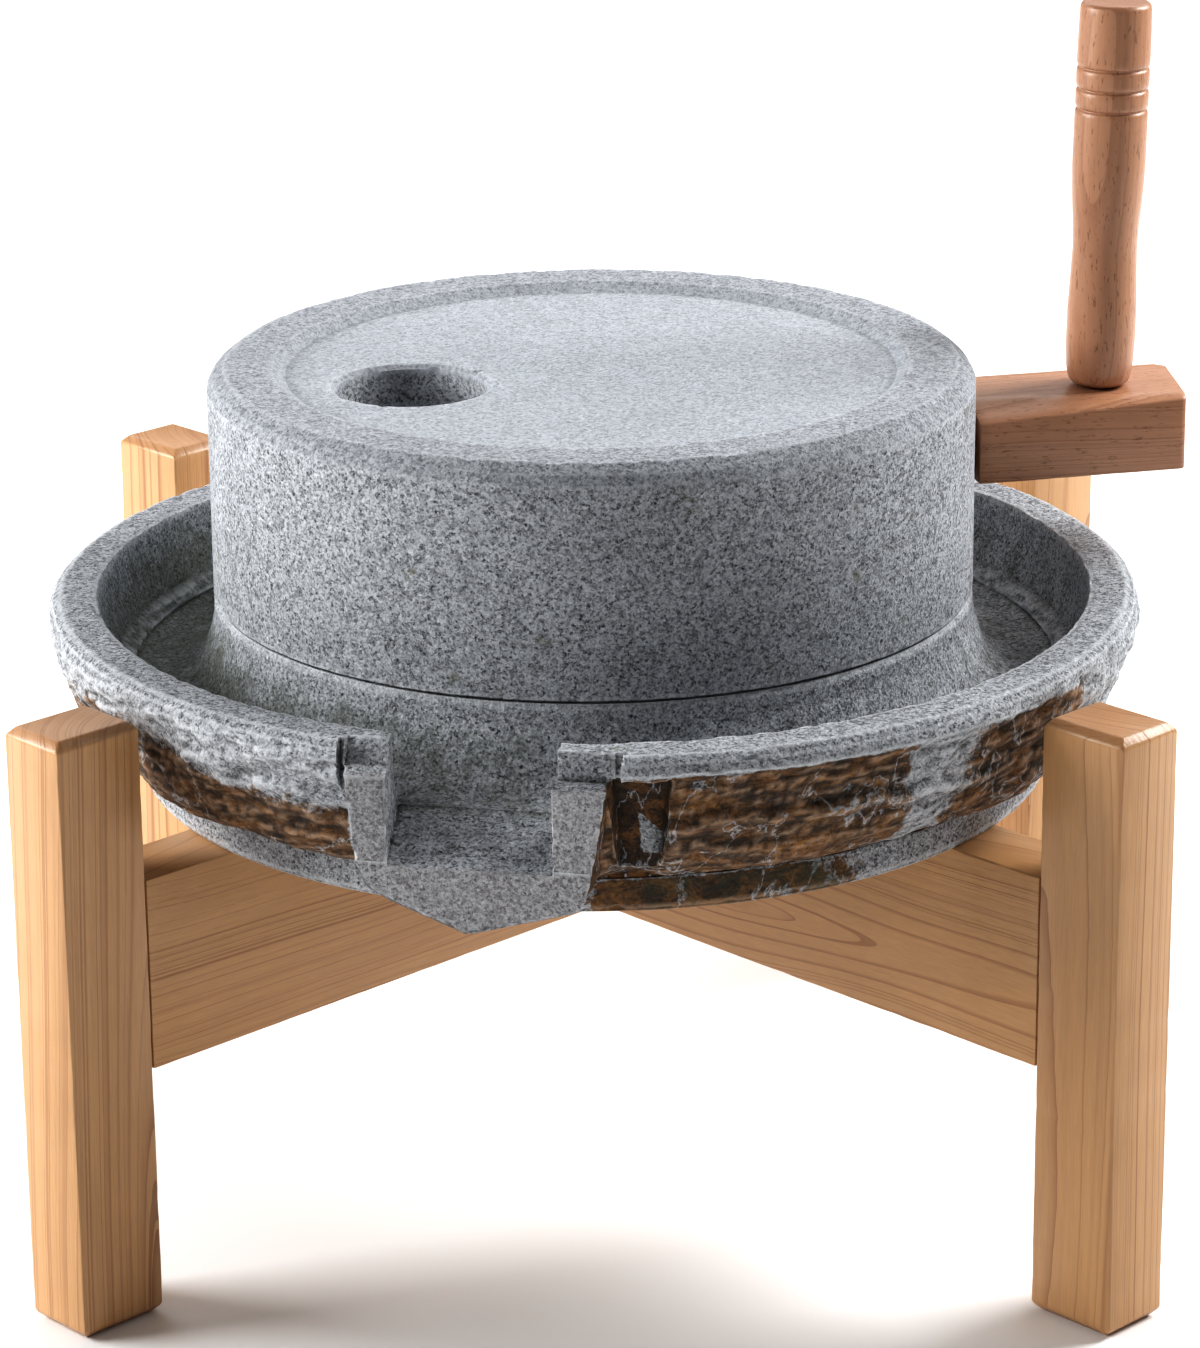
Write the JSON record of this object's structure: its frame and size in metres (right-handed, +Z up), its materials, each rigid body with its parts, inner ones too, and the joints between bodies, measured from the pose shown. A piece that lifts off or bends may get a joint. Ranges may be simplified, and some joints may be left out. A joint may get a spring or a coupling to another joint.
{
  "type": "rotary quern",
  "caption": "Hand-turned stone quern: a round granite runner with a feed eye and wooden handle on a bed stone with ring tray and spout, on a pine cross stand.",
  "frame": {"origin": "on the floor, under the middle of the whole object's bounding box", "axes": "+Z up; -Y towards the viewer, the side that the spout points to; the four legs stand on the diagonals of X and Y"},
  "size_m": [0.3767, 0.3966, 0.3904],
  "materials": {
    "granite_tray": "matte, chiselled inside, hewn and rust-stained outside",
    "granite_runner": "matte, turned, fine speckle",
    "pine": "satin, planed, clear finish",
    "beech": "satin, turned and sanded"
  },
  "bodies": {
    "stand": {"leg_back_right": "pine", "leg_back_left": "pine", "leg_front_left": "pine", "leg_front_right": "pine", "rail_left_to_back": "pine", "rail_right_to_back": "pine", "bed_and_tray": "granite_tray"},
    "runner": {"runner_stone": "granite_runner", "handle_block": "beech", "handle_grip": "beech"}
  },
  "joints": [
    {"name": "runner_turn", "type": "hinge", "parent": "stand", "child": "runner", "pos_m": [-0.0086, -0.0159, 0.2065], "axis": [0, 0, 1], "continuous": true}
  ]
}
